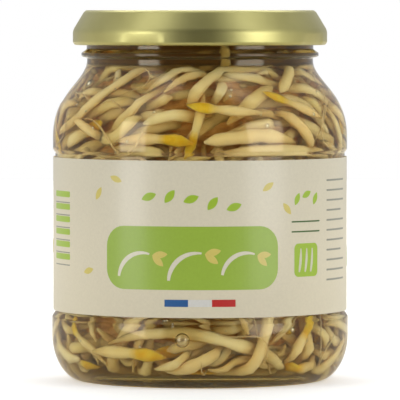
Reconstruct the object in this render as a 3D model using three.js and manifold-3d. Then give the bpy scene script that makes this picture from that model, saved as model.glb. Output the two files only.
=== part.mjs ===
// A jar of bean sprouts: a twist-off glass jar with its metal lid, sealing ring and paper label,
// filled with brine and a packed mass of sprouts.
// Millimetres, +Z up. The jar's axis is Z and it stands on z = 0. The label's front faces -Y.
import * as THREE from "three";
import { mergeVertices } from "three/addons/utils/BufferGeometryUtils.js";
import Module from "manifold-3d";

const wasm = await Module();
wasm.setup();

// Driving dimensions
const segments = 32; // facets round the axis
const clearance = 0.3; // between pieces that touch on the real jar

const jar = {
  footInner: 31.2, // the flat ring that the jar stands on
  footOuter: 33.6,
  pushUp: 1.4, // how far the base is domed up in the middle
  bumperRadius: 40.8, // the band under the label, the widest place
  bumperBottom: 12.5,
  bumperTop: 17.6,
  panelRadius: 39.85, // the label's shallow recess
  panelBottom: 19,
  panelTop: 62.6,
  bodyRadius: 40.5,
  shoulderBottom: 67,
  neckRadius: 31.1,
  neckBottom: 88,
  beadRadius: 32.65, // the ring under the lid
  beadMiddle: 89.5,
  finishRadius: 31.2, // the wall that carries the threads
  rimTop: 99.6,
  boreRadius: 28.7,
  innerRadius: 38,
  innerFloor: 4.4,
  innerCornerTop: 14.5,
};

const thread = {
  count: 4,
  firstStart: 43, // degrees from +X
  outerRadius: 32.6,
  rootHalfHeight: 1.1,
  crestHalfHeight: 0.35,
  lowestMiddle: 94.16,
  rise: 2.2,
  spanDegrees: 70,
};

const lid = {
  plate: 0.7,
  radius: 35,
  bottom: 92.1,
  curlInner: 33.4,
  slopeBottom: 96.15, // where the skirt begins to lean in
  shoulderRadius: 32,
  shoulderTop: 101.15,
  rimOuter: 31.3, // the raised ring round the top
  rimInner: 26.4,
  top: 101.7,
  panelTop: 101.05,
  buttonRadius: 8.5,
  buttonDip: 0.5,
  lugInner: 31.65,
  lugBottom: 92.5,
  lugTop: 93.2,
  lugDegrees: 12,
  lugFromThreadStart: 20, // how far along its thread each closed lug sits
};

const seal = { inner: 27.4, outer: 31.2, bottom: 99.9, top: 100.7 };

const label = {
  inner: jar.panelRadius + clearance,
  outer: jar.bodyRadius,
  bottom: 19.4,
  top: 61.5,
  gapDegrees: 10, // the bare strip of glass at the back
};

const brine = {
  film: 0.7, // liquid between the glass and the outermost sprouts
  level: 94.5,
};

const sprout = {
  seed: 20,
  count: 60,
  tries: 80, // ways drawn for each sprout, of which the emptiest is kept
  enoughRoom: 14,
  sides: 5,
  stations: 7,
  shortest: 40,
  longest: 58,
  thinnest: 1.9,
  thickest: 2.3,
  deepest: 0.5, // how far under the outermost ones some of them lie
  sharpestBend: 0.034, // radians per millimetre
  massTop: 89,
  coreDepth: 3.2, // from the outermost sprouts to the tight middle of the mass
  coreFacets: 12,
  upright: 3, // sprouts whose tips break the surface in the neck
  uprightRadius: 22.5,
  uprightTip: 94.8,
  holeRadius: 2.7,
};
const massGap = clearance + brine.film + clearance; // from the glass to the outermost sprouts

// Outlines, as lists of [radius, height]
function bezier(p0, p1, p2, p3, steps) {
  return Array.from({ length: steps }, (_, i) => {
    const t = (i + 1) / steps;
    const u = 1 - t;
    const blend = (k) =>
      u ** 3 * p0[k] + 3 * u * u * t * p1[k] + 3 * u * t * t * p2[k] + t ** 3 * p3[k];
    return [blend(0), blend(1)];
  });
}

// The heel, from the foot ring up to the bumper band.
function heelOutline(steps) {
  const foot = [jar.footOuter, 0];
  const band = [jar.bumperRadius, jar.bumperBottom];
  return bezier(foot, [37, 0.4], [jar.bumperRadius, 5.5], band, steps);
}

// The shoulder from the body up to the neck, with its bends at set shares of the way.
function shoulderOutline(bodyRadius, neckRadius, steps) {
  const low = jar.shoulderBottom;
  const high = jar.neckBottom;
  return bezier(
    [bodyRadius, low],
    [bodyRadius, low + 12.5],
    [neckRadius, high - 6],
    [neckRadius, high],
    steps,
  );
}

// The inside of the jar, moved inwards by gap, from the middle of the floor up to the neck.
function innerOutline(gap, cornerSteps, shoulderSteps) {
  const wall = jar.innerRadius - gap;
  const bore = jar.boreRadius - gap;
  const floor = jar.innerFloor + gap;
  const cornerStart = [jar.innerRadius - 7.5, floor - 1];
  const wallStart = [wall, jar.innerCornerTop];
  return [
    [0, floor],
    cornerStart,
    ...bezier(cornerStart, [wall - 1.6, floor - 1], [wall, 7.4 + gap], wallStart, cornerSteps),
    [wall, jar.shoulderBottom - gap / 3],
    ...shoulderOutline(wall, bore, shoulderSteps),
  ];
}

// Solids
function lathe(outline, facets = segments) {
  const points = outline.map(([radius, height]) => new THREE.Vector2(radius, height));
  return new THREE.LatheGeometry(points, facets).rotateX(Math.PI / 2);
}

// A closed solid through rings of equal length, with flat ends.
function skin(rings) {
  const sides = rings[0].length;
  const index = [];
  for (let i = 0; i < rings.length - 1; i++) {
    for (let j = 0; j < sides; j++) {
      const k = (j + 1) % sides;
      const [a, b] = [i * sides + j, i * sides + k];
      const [c, d] = [a + sides, b + sides];
      index.push(a, b, d, a, d, c);
    }
  }
  const last = (rings.length - 1) * sides;
  for (let j = 1; j < sides - 1; j++) {
    index.push(0, j + 1, j);
    index.push(last, last + j, last + j + 1);
  }
  return new THREE.BufferGeometry().setFromPoints(rings.flat()).setIndex(index);
}

function solidFrom(geometry) {
  const bare = geometry.clone();
  bare.deleteAttribute("normal");
  bare.deleteAttribute("uv");
  const merged = mergeVertices(bare, 1e-4);
  return new wasm.Manifold(
    new wasm.Mesh({
      numProp: 3,
      vertProperties: new Float32Array(merged.attributes.position.array),
      triVerts: new Uint32Array(merged.index.array),
    }),
  );
}

function geometryFrom(solid) {
  const mesh = solid.getMesh();
  const geometry = new THREE.BufferGeometry();
  geometry.setAttribute("position", new THREE.BufferAttribute(mesh.vertProperties, 3));
  geometry.setIndex(new THREE.BufferAttribute(mesh.triVerts, 1));
  const flat = geometry.toNonIndexed();
  flat.computeVertexNormals();
  return flat;
}

function atAngle(radius, degrees, height) {
  const angle = THREE.MathUtils.degToRad(degrees);
  return new THREE.Vector3(radius * Math.cos(angle), radius * Math.sin(angle), height);
}

// A bar round the axis: a section, its [radius, height] points clockwise, carried through some
// degrees.
function bar(sectionAt, startDegrees, spanDegrees, steps) {
  const rings = [];
  for (let i = 0; i <= steps; i++) {
    const share = i / steps;
    const degrees = startDegrees + share * spanDegrees;
    rings.push(sectionAt(share).map(([radius, height]) => atAngle(radius, degrees, height)));
  }
  return skin(rings);
}

// The glass jar
function jarOutline() {
  return [
    [0, jar.pushUp],
    [16, jar.pushUp - 0.3],
    [jar.footInner - 1.4, 1],
    [jar.footInner, 0],
    [jar.footOuter, 0],
    ...heelOutline(4),
    [jar.bumperRadius, jar.bumperTop],
    [jar.panelRadius, jar.panelBottom],
    [jar.panelRadius, jar.panelTop],
    [jar.bodyRadius, jar.panelTop + 0.9],
    [jar.bodyRadius, jar.shoulderBottom],
    ...shoulderOutline(jar.bodyRadius, jar.neckRadius, 6),
    [jar.beadRadius, jar.beadMiddle - 0.4],
    [jar.beadRadius, jar.beadMiddle + 0.3],
    [jar.finishRadius, jar.beadMiddle + 1.6],
    [jar.finishRadius, jar.rimTop - 0.9],
    [jar.finishRadius - 0.9, jar.rimTop],
    [jar.boreRadius + 0.6, jar.rimTop],
    [jar.boreRadius, jar.rimTop - 0.6],
    ...innerOutline(0, 3, 5).reverse(),
  ];
}

function threadStart(i) {
  return thread.firstStart + (i * 360) / thread.count;
}

function threadBar(i) {
  const rootRadius = jar.finishRadius - 0.4;
  const sectionAt = (share) => {
    const middle = thread.lowestMiddle + share * thread.rise;
    const crest = share === 0 || share === 1 ? jar.finishRadius - 0.1 : thread.outerRadius;
    return [
      [rootRadius, middle - thread.rootHalfHeight],
      [rootRadius, middle + thread.rootHalfHeight],
      [crest, middle + thread.crestHalfHeight],
      [crest, middle - thread.crestHalfHeight],
    ];
  };
  return bar(sectionAt, threadStart(i), thread.spanDegrees, 8);
}

function makeJar() {
  let glass = solidFrom(lathe(jarOutline()));
  for (let i = 0; i < thread.count; i++) glass = glass.add(solidFrom(threadBar(i)));
  return geometryFrom(glass);
}

// The lid, a pressed plate with a rolled lower edge and lugs that turn in under the threads
function lidOutline() {
  const inside = lid.radius - lid.plate;
  const under = lid.panelTop - lid.plate;
  return [
    [0, under - lid.buttonDip],
    [lid.buttonRadius, under - lid.buttonDip + 0.2],
    [lid.buttonRadius + 1.5, under],
    [lid.rimInner - 0.5, under],
    [lid.rimInner + 0.6, lid.top - lid.plate],
    [lid.rimOuter - 0.3, lid.top - lid.plate],
    [lid.shoulderRadius - 0.5, lid.shoulderTop - 0.5],
    [inside, lid.slopeBottom - 0.2],
    [inside, lid.bottom + 1.9],
    [lid.curlInner, lid.bottom + 1.1],
    [lid.curlInner + 0.1, lid.bottom + 0.2],
    [lid.radius - 0.7, lid.bottom],
    [lid.radius, lid.bottom + 1.2],
    [lid.radius, lid.slopeBottom],
    [lid.shoulderRadius, lid.shoulderTop],
    [lid.rimOuter, lid.top],
    [lid.rimInner, lid.top],
    [lid.rimInner - 1.2, lid.panelTop],
    [lid.buttonRadius + 1.5, lid.panelTop],
    [lid.buttonRadius, lid.panelTop - lid.buttonDip + 0.2],
    [0, lid.panelTop - lid.buttonDip],
  ];
}

function lugBar(i) {
  const outer = lid.curlInner + 0.6;
  const section = [
    [lid.lugInner, lid.lugBottom],
    [lid.lugInner, lid.lugTop],
    [outer, lid.lugTop],
    [outer, lid.lugBottom],
  ];
  const start = threadStart(i) + lid.lugFromThreadStart - lid.lugDegrees / 2;
  return bar(() => section, start, lid.lugDegrees, 2);
}

function makeLid() {
  let plate = solidFrom(lathe(lidOutline()));
  for (let i = 0; i < thread.count; i++) plate = plate.add(solidFrom(lugBar(i)));
  return geometryFrom(plate);
}

// The ring of sealing compound in the lid's channel
function makeSeal() {
  return lathe([
    [seal.inner, seal.bottom],
    [seal.outer, seal.bottom],
    [seal.outer, seal.top],
    [seal.inner, seal.top],
    [seal.inner, seal.bottom],
  ]);
}

// The paper label, wrapped round the recess with a bare strip at the back
function makeLabel() {
  const section = [
    [label.inner, label.bottom],
    [label.inner, label.top],
    [label.outer, label.top],
    [label.outer, label.bottom],
  ];
  const back = 90;
  const span = 360 - label.gapDegrees;
  return bar(() => section, back + label.gapDegrees / 2, span, segments);
}

// The envelope of the mass of sprouts, moved inwards by depth
function massOutline(depth) {
  const outline = innerOutline(massGap + depth, 4, 4);
  const kept = outline.filter(([, height]) => height < sprout.massTop - depth);
  const [neckEdge] = kept[kept.length - 1];
  return [...kept, [neckEdge - 1, sprout.massTop - depth], [0, sprout.massTop - depth]];
}

// The same numbers in the same order on every run.
function seededRandom(seed) {
  let state = seed;
  return () => {
    state = (Math.imul(state, 1664525) + 1013904223) >>> 0;
    return state / 4294967296;
  };
}

// The nearest place on an outline to a point, with the direction into the mass there.
function nearestOn(outline, radius, height) {
  let best = { gap: Infinity };
  for (let i = 0; i < outline.length - 1; i++) {
    const [r0, z0] = outline[i];
    const [dr, dz] = [outline[i + 1][0] - r0, outline[i + 1][1] - z0];
    const size = Math.hypot(dr, dz);
    const along = ((radius - r0) * dr + (height - z0) * dz) / (size * size);
    const share = Math.min(1, Math.max(0, along));
    const [r, z] = [r0 + share * dr, z0 + share * dz];
    const gap = Math.hypot(radius - r, height - z);
    if (gap < best.gap) best = { gap, r, z, inR: -dz / size, inZ: dr / size };
  }
  return best;
}

// Moves a point to a depth under the envelope. Returns it with the inward direction there.
function settle(outline, point, depth) {
  const radius = Math.hypot(point.x, point.y);
  const near = nearestOn(outline, radius, point.z);
  const settled = near.r + near.inR * depth;
  const [cos, sin] = [point.x / radius, point.y / radius];
  return {
    point: new THREE.Vector3(settled * cos, settled * sin, near.z + near.inZ * depth),
    inward: new THREE.Vector3(near.inR * cos, near.inR * sin, near.inZ),
  };
}

// A place on the envelope by the share of its area below, so that the sprouts spread evenly.
function placeOnEnvelope(outline, areaShare) {
  const bands = outline.slice(1).map(([r1, z1], i) => {
    const [r0, z0] = outline[i];
    return Math.hypot(r1 - r0, z1 - z0) * (r0 + r1);
  });
  let left = areaShare * bands.reduce((sum, area) => sum + area, 0);
  let i = 0;
  while (i < bands.length - 1 && left > bands[i]) left -= bands[i++];
  const share = left / bands[i];
  const mix = (k) => outline[i][k] + share * (outline[i + 1][k] - outline[i][k]);
  return [mix(0), mix(1)];
}

// How thick a sprout is along its way: a fine root, a plump stem, a slim neck and the seed leaves.
function thicknessAt(share) {
  const root = 0.34 + 0.66 * Math.min(1, share / 0.3);
  const neck = 1 - 0.35 * Math.exp(-(((share - 0.86) / 0.05) ** 2));
  const head = 1 + 0.35 * Math.exp(-(((share - 0.95) / 0.04) ** 2));
  return root * neck * head;
}

function ringRound(centre, side, inward, radius) {
  return Array.from({ length: sprout.sides }, (_, j) => {
    const angle = (j * 2 * Math.PI) / sprout.sides;
    return centre
      .clone()
      .addScaledVector(side, radius * Math.cos(angle))
      .addScaledVector(inward, radius * Math.sin(angle));
  });
}

// A way along the envelope, from a sprout's root to its seed leaves.
function drawWay(outline, random) {
  const [startRadius, startHeight] = placeOnEnvelope(outline, random());
  const angle = 2 * Math.PI * random();
  const heading = 2 * Math.PI * random();
  const length = sprout.shortest + (sprout.longest - sprout.shortest) * random();
  const thick = sprout.thinnest + (sprout.thickest - sprout.thinnest) * random();
  const depth = 1.12 * thick + sprout.deepest * random();
  const bend = sprout.sharpestBend * (2 * random() - 1);
  const step = length / (sprout.stations - 1);

  const safeRadius = Math.max(startRadius, 4);
  const start = new THREE.Vector3(
    safeRadius * Math.cos(angle),
    safeRadius * Math.sin(angle),
    startHeight,
  );
  let { point, inward } = settle(outline, start, depth);
  const round = new THREE.Vector3(-Math.sin(angle), Math.cos(angle), 0);
  let ahead = round.clone().applyAxisAngle(inward, heading);

  const stations = [];
  for (let k = 0; k < sprout.stations; k++) {
    const share = k / (sprout.stations - 1);
    stations.push({ point, inward, ahead, radius: thick * thicknessAt(share) });
    const hook = share > 0.7 ? 2.5 : 1; // the neck under the seed leaves bends more
    const turned = ahead.clone().applyAxisAngle(inward, bend * hook * step);
    const next = settle(outline, point.clone().addScaledVector(turned, step), depth);
    ahead = next.point.clone().sub(point);
    ahead.addScaledVector(next.inward, -ahead.dot(next.inward)).normalize();
    [point, inward] = [next.point, next.inward];
  }
  return stations;
}

// How far a way keeps from the ones laid before it, averaged over its stations.
function roomAlong(way, laid) {
  let total = 0;
  for (const { point } of way) {
    let nearest = sprout.enoughRoom;
    for (const other of laid) {
      for (const station of other) nearest = Math.min(nearest, point.distanceTo(station.point));
    }
    total += nearest;
  }
  return total / way.length;
}

// Lays the sprouts one by one, each time along the emptiest of a few ways.
function laySprouts() {
  const random = seededRandom(sprout.seed);
  const envelope = massOutline(0);
  const laid = [];
  for (let i = 0; i < sprout.count; i++) {
    let best = null;
    for (let j = 0; j < sprout.tries; j++) {
      const way = drawWay(envelope, random);
      const room = roomAlong(way, laid);
      if (!best || room > best.room) best = { way, room };
    }
    laid.push(best.way);
  }
  return laid;
}

function sproutSkin(way) {
  const rings = way.map(({ point, inward, ahead, radius }) => {
    const side = new THREE.Vector3().crossVectors(inward, ahead).normalize();
    return ringRound(point, side, inward, radius);
  });
  return skin(rings);
}

function uprightAngle(i) {
  return (i * 360) / sprout.upright + 40;
}

function uprightSprout(i) {
  const centre = atAngle(sprout.uprightRadius, uprightAngle(i), 0);
  const side = new THREE.Vector3(1, 0, 0);
  const across = new THREE.Vector3(0, 1, 0);
  const bottom = sprout.massTop - 12;
  const rings = Array.from({ length: 6 }, (_, k) => {
    const share = k / 5;
    const height = bottom + share * (sprout.uprightTip - bottom);
    const radius = sprout.thickest * (share < 1 ? 1 : 0.6);
    return ringRound(centre.clone().setZ(height), side, across, radius);
  });
  return skin(rings);
}

function makeSprouts() {
  const pieces = [solidFrom(lathe(massOutline(sprout.coreDepth), sprout.coreFacets))];
  for (const way of laySprouts()) pieces.push(solidFrom(sproutSkin(way)));
  for (let i = 0; i < sprout.upright; i++) pieces.push(solidFrom(uprightSprout(i)));
  // The outermost shell only, because crossing sprouts can close small pockets between them.
  const shells = wasm.Manifold.union(pieces).decompose();
  shells.sort((a, b) => b.volume() - a.volume());
  return geometryFrom(shells[0]);
}

// The brine, with one plain hollow for the sprouts and a plain hole for each upright tip
function makeBrine() {
  const filled = [
    ...innerOutline(clearance, 3, 5),
    [jar.boreRadius - clearance, brine.level],
    [0, brine.level],
  ];
  const hollow = innerOutline(clearance + brine.film, 4, 4);
  const kept = hollow.filter(([, height]) => height < sprout.massTop + clearance);
  const [neckEdge] = kept[kept.length - 1];
  const hollowTop = sprout.massTop + clearance;
  let liquid = solidFrom(lathe(filled)).subtract(
    solidFrom(lathe([...kept, [neckEdge - 0.6, hollowTop], [0, hollowTop]])),
  );
  for (let i = 0; i < sprout.upright; i++) {
    const tall = new THREE.CylinderGeometry(sprout.holeRadius, sprout.holeRadius, 12, 12);
    const place = atAngle(sprout.uprightRadius, uprightAngle(i), brine.level);
    tall.rotateX(Math.PI / 2).translate(place.x, place.y, place.z);
    liquid = liquid.subtract(solidFrom(tall));
  }
  return geometryFrom(liquid);
}

// Finishes
const finishes = {
  glass: { color: "#c9d2c0", roughness: 0.05, metalness: 0, transparent: true, opacity: 0.35 },
  goldLacquer: { color: "#b5ac6e", roughness: 0.35, metalness: 0.9 },
  compound: { color: "#e6e2d8", roughness: 0.6, metalness: 0 },
  paper: { color: "#dcd7c6", roughness: 0.5, metalness: 0 },
  brine: { color: "#c9a25a", roughness: 0.05, metalness: 0, transparent: true, opacity: 0.4 },
  sprout: { color: "#d8c8a0", roughness: 0.45, metalness: 0 },
};

function piece(name, geometry, finish) {
  const mesh = new THREE.Mesh(geometry, new THREE.MeshStandardMaterial(finishes[finish]));
  mesh.name = name;
  return mesh;
}

const jarOfSprouts = new THREE.Group();
jarOfSprouts.add(
  piece("glass_jar", makeJar(), "glass"),
  piece("lid", makeLid(), "goldLacquer"),
  piece("lid_seal", makeSeal(), "compound"),
  piece("label", makeLabel(), "paper"),
  piece("brine", makeBrine(), "brine"),
  piece("sprouts", makeSprouts(), "sprout"),
);

export default jarOfSprouts;
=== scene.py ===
import math

import bmesh
import bpy
import numpy as np
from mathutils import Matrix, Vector


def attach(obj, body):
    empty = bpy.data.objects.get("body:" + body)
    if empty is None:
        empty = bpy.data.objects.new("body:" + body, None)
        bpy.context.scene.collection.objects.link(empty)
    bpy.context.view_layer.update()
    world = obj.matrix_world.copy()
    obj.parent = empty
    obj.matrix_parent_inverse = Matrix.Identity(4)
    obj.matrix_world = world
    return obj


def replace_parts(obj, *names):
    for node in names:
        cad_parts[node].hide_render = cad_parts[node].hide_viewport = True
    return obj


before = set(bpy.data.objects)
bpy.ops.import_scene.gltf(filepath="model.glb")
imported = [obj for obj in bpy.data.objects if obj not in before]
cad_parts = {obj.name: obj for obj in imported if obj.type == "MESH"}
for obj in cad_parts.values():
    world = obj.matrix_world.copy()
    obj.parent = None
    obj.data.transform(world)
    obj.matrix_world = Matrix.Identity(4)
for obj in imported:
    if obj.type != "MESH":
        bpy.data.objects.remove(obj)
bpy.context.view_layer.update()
print("frame loaded:", ", ".join(sorted(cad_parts)))

mm = 0.001
scene = bpy.context.scene


# Tools for meshes. Points are given in millimetres.
def addPiece(name, points, faces, materials, body, pick=None):
    mesh = bpy.data.meshes.new(name)
    mesh.from_pydata((np.asarray(points, float) * mm).tolist(), [], faces)
    for material in materials:
        mesh.materials.append(material)
    if pick is not None:
        mesh.polygons.foreach_set("material_index", np.asarray(pick, np.int32))
    mesh.polygons.foreach_set("use_smooth", [True] * len(mesh.polygons))
    mesh.update()
    piece = bpy.data.objects.new(name, mesh)
    scene.collection.objects.link(piece)
    if body:
        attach(piece, body)
    return piece


def bezier(p0, p1, p2, p3, steps):
    t = (np.arange(steps) + 1)[:, None] / steps
    p0, p1, p2, p3 = (np.array(p, float) for p in (p0, p1, p2, p3))
    u = 1 - t
    curve = u**3 * p0 + 3 * u * u * t * p1 + 3 * u * t * t * p2 + t**3 * p3
    return [tuple(p) for p in curve]


# Rounds the corners of an outline. A corner is (radius, height) or (radius, height, roundness).
def softOutline(corners, arcSteps=5):
    outline = []
    for i, corner in enumerate(corners):
        here = np.array(corner[:2], float)
        if len(corner) < 3 or i in (0, len(corners) - 1):
            outline.append(tuple(here))
            continue
        before = np.array(corners[i - 1][:2], float) - here
        after = np.array(corners[i + 1][:2], float) - here
        beforeLength, afterLength = np.linalg.norm(before), np.linalg.norm(after)
        before, after = before / beforeLength, after / afterLength
        half = 0.5 * math.acos(np.clip(before @ after, -1, 1))
        cut = min(corner[2] / math.tan(half), 0.48 * beforeLength, 0.48 * afterLength)
        middle = (before + after) / np.linalg.norm(before + after)
        centre = here + middle * cut * math.tan(half) / math.sin(half)
        first, last = here + before * cut - centre, here + after * cut - centre
        startAngle = math.atan2(first[1], first[0])
        turn = math.atan2(last[1], last[0]) - startAngle
        turn = (turn + math.pi) % (2 * math.pi) - math.pi
        size = np.linalg.norm(first)
        for k in range(arcSteps + 1):
            angle = startAngle + turn * k / arcSteps
            outline.append((centre[0] + size * math.cos(angle), centre[1] + size * math.sin(angle)))
    return outline


# Turns an outline round the jar's axis. Returns points, faces, and each face's row.
def turnRound(outline, facets):
    angles = np.arange(facets) * 2 * math.pi / facets
    points, rows = [], []
    for radius, height in outline:
        start = len(points)
        if radius < 1e-6:
            points.append((0.0, 0.0, height))
            rows.append([start])
        else:
            points.extend(
                zip(radius * np.cos(angles), radius * np.sin(angles), np.full(facets, height))
            )
            rows.append(list(range(start, start + facets)))
    faces, faceRows = [], []
    for i in range(len(rows) - 1):
        low, high = rows[i], rows[i + 1]
        for j in range(facets):
            k = (j + 1) % facets
            if len(low) == 1:
                faces.append((low[0], high[k], high[j]))
            elif len(high) == 1:
                faces.append((low[j], low[k], high[0]))
            else:
                faces.append((low[j], low[k], high[k], high[j]))
            faceRows.append(i)
    return np.array(points), faces, np.array(faceRows)


# Tools for materials.
def startMaterial(name):
    material = bpy.data.materials.new(name)
    material.use_nodes = True
    tree = material.node_tree
    return material, tree, tree.nodes["Principled BSDF"]


def addNode(tree, kind, **values):
    node = tree.nodes.new(kind)
    for key, value in values.items():
        if key in node.inputs:
            node.inputs[key].default_value = value
        else:
            setattr(node, key, value)
    return node


def setSockets(shader, values):
    for key, value in values.items():
        shader.inputs[key].default_value = value


# Noise measured in the piece's own metres, so that its grain is the right size.
def addNoise(tree, scale, detail=3.0, roughness=0.5, stretch=(1, 1, 1)):
    place = addNode(tree, "ShaderNodeTexCoord")
    mapping = addNode(tree, "ShaderNodeMapping")
    mapping.inputs["Scale"].default_value = stretch
    noise = addNode(tree, "ShaderNodeTexNoise", Scale=scale, Detail=detail, Roughness=roughness)
    tree.links.new(place.outputs["Object"], mapping.inputs["Vector"])
    tree.links.new(mapping.outputs["Vector"], noise.inputs["Vector"])
    return noise.outputs["Fac"]


def addRamp(tree, source, stops):
    ramp = addNode(tree, "ShaderNodeValToRGB")
    while len(ramp.color_ramp.elements) < len(stops):
        ramp.color_ramp.elements.new(0.5)
    for element, (place, colour) in zip(ramp.color_ramp.elements, stops):
        element.position = place
        element.color = (*colour, 1)
    tree.links.new(source, ramp.inputs["Fac"])
    return ramp.outputs["Color"]


def addRange(tree, source, low, high):
    node = addNode(tree, "ShaderNodeMapRange")
    node.inputs["To Min"].default_value = low
    node.inputs["To Max"].default_value = high
    tree.links.new(source, node.inputs["Value"])
    return node.outputs["Result"]


def addBump(tree, source, distance, strength=1.0, shader=None):
    bump = addNode(tree, "ShaderNodeBump", Strength=strength, Distance=distance)
    tree.links.new(source, bump.inputs["Height"])
    tree.links.new(bump.outputs["Normal"], shader.inputs["Normal"])


def mixColours(tree, factor, first, second, blend="MIX"):
    mix = addNode(tree, "ShaderNodeMix", data_type="RGBA", blend_type=blend)
    for socket, value in ((mix.inputs[0], factor), (mix.inputs[6], first), (mix.inputs[7], second)):
        if isinstance(value, bpy.types.NodeSocket):
            tree.links.new(value, socket)
        elif isinstance(value, tuple):
            socket.default_value = (*value, 1)
        else:
            socket.default_value = value
    return mix.outputs[2]


# Lets lamp light straight through a clear material, so that what is inside is lit evenly.
def passLampLight(tree, shader, tint):
    clear = addNode(tree, "ShaderNodeBsdfTransparent", Color=(*tint, 1))
    path = addNode(tree, "ShaderNodeLightPath")
    mix = addNode(tree, "ShaderNodeMixShader")
    tree.links.new(path.outputs["Is Shadow Ray"], mix.inputs["Fac"])
    tree.links.new(shader.outputs["BSDF"], mix.inputs[1])
    tree.links.new(clear.outputs["BSDF"], mix.inputs[2])
    tree.links.new(mix.outputs["Shader"], tree.nodes["Material Output"].inputs["Surface"])


# The glass jar. Radii and heights are in millimetres.
jar = {
    "facets": 192, "liningSteps": (10, 22),
    "footInner": 31.2, "footOuter": 33.6, "pushUp": 1.4,
    "bumperRadius": 40.8, "bumperBottom": 12.5, "bumperTop": 17.6,
    "panelRadius": 39.85, "panelBottom": 19, "panelTop": 62.6,
    "bodyRadius": 40.5, "shoulderBottom": 67,
    "neckRadius": 31.1, "neckBottom": 88,
    "beadRadius": 32.65, "beadMiddle": 89.5,
    "finishRadius": 31.2, "finishBottom": 91.6, "rimTop": 99.6,
    "boreRadius": 28.7, "innerRadius": 38, "innerFloor": 4.4, "innerCornerTop": 14.5,
    "threads": 4, "threadStart": 43, "threadSpan": 70, "threadReach": 1.35,
    "threadLowest": 94.16, "threadRise": 2.2, "threadHalf": 1.1,
    "waviness": 0.10, "wavyFrom": 17, "wavyTo": 86,
    "tint": (0.96, 0.935, 0.79), "lampTint": (1.0, 0.98, 0.92),
    # the foot's strong amber, for what is seen through it, the lamp light it passes and what it mirrors,
    # is painted light and reflection: it stands for the amber brine and sprouts mirrored in the thick
    # base glass
    "footPaintedAmber": (1.0, 0.82, 0.18), "footLampPaintedAmber": (0.96, 0.90, 0.70),
    # the amber in the glass's reflections is painted reflection; clear glass mirrors without colour
    "mirrorPaintedAmber": (1.0, 0.90, 0.70), "footMirrorPaintedAmber": (1.0, 0.84, 0.48),
    "ior": 1.5, "iorInBrine": 1.128, "footRoughness": 0.06,
}
brine = {
    "level": 94.2,
    "gap": 0.02,
    "depthColour": (0.88, 0.64, 0.05),
    "density": 108,
    "cloudColour": (1.0, 0.82, 0.52), "cloud": 42, "cloudForward": 0.3,
}


def heelOutline(steps):
    foot, band = (jar["footOuter"], 0), (jar["bumperRadius"], jar["bumperBottom"])
    return bezier(foot, (37, 0.4), (jar["bumperRadius"], 5.5), band, steps)


def shoulderOutline(bodyRadius, neckRadius, steps):
    low, high = jar["shoulderBottom"], jar["neckBottom"]
    return bezier(
        (bodyRadius, low), (bodyRadius, low + 12.5), (neckRadius, high - 6), (neckRadius, high), steps
    )


# The inside of the jar, moved inwards by gap, from the middle of the floor up to the neck.
def innerOutline(gap, cornerSteps, shoulderSteps):
    wall, bore = jar["innerRadius"] - gap, jar["boreRadius"] - gap
    floor = jar["innerFloor"] + gap
    corner, wallStart = (jar["innerRadius"] - 7.5, floor - 1), (wall, jar["innerCornerTop"])
    return [
        (0, floor),
        corner,
        *bezier(corner, (wall - 1.6, floor - 1), (wall, 7.4 + gap), wallStart, cornerSteps),
        (wall, jar["shoulderBottom"] - gap / 3),
        *shoulderOutline(wall, bore, shoulderSteps),
    ]


def jarOutline():
    foot = [
        (0, jar["pushUp"]), (10, jar["pushUp"]), (18, jar["pushUp"] - 0.3, 8),
        (jar["footInner"] - 1.4, 1, 3), (jar["footInner"], 0, 0.5), (jar["footOuter"], 0),
    ]
    waist = [
        (jar["bumperRadius"], jar["bumperBottom"] + 0.4),
        (jar["bumperRadius"], jar["bumperTop"], 0.9), (jar["panelRadius"], jar["panelBottom"], 0.8),
        (jar["panelRadius"], jar["panelTop"], 0.6), (jar["bodyRadius"], jar["panelTop"] + 0.9, 0.8),
        (jar["bodyRadius"], jar["shoulderBottom"]),
    ]
    neck, middle, top = jar["neckRadius"], jar["beadMiddle"], jar["rimTop"]
    finish, bore = jar["finishRadius"], jar["boreRadius"]
    bead = [
        (neck, jar["neckBottom"] + 0.05), (neck, middle - 0.9, 0.4),
        (jar["beadRadius"], middle - 0.55, 0.6), (jar["beadRadius"], middle + 0.5, 0.6),
        (finish, middle + 1.5, 0.5), (finish, jar["finishBottom"]),
    ]
    threadWall = [(finish, jar["finishBottom"] + 0.3 * k) for k in range(1, 24)]
    rim = [(finish, top - 0.9), (finish, top, 0.9), (bore, top, 0.7), (bore, top - 1)]
    waterline = [(bore, brine["level"] + 0.05), (bore, brine["level"] - 0.05)]
    lining = innerOutline(0, *jar["liningSteps"])[::-1]
    return [
        *softOutline(foot), *heelOutline(16), *softOutline(waist),
        *shoulderOutline(jar["bodyRadius"], jar["neckRadius"], 26),
        *softOutline(bead), *threadWall, *softOutline(rim), *waterline, *lining,
    ]


def glassMaterial(name, ior, tint, lampTint, mirrorPaintedAmber, roughness=0.0):
    material, tree, shader = startMaterial(name)
    setSockets(shader, {
        "Base Color": (*tint, 1), "Roughness": roughness, "IOR": ior, "Transmission Weight": 1.0,
        # the reflections are tinted amber, which clear glass doesn't do: painted reflection
        "Specular Tint": (*mirrorPaintedAmber, 1),
    })
    if roughness:
        addBump(tree, addNoise(tree, 1500, 2.0), 0.0002, 0.5, shader)  # the stippled foot
    else:
        addBump(tree, addNoise(tree, 55, 1.0), 0.00035, 0.25, shader)
    passLampLight(tree, shader, lampTint)
    return material


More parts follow.
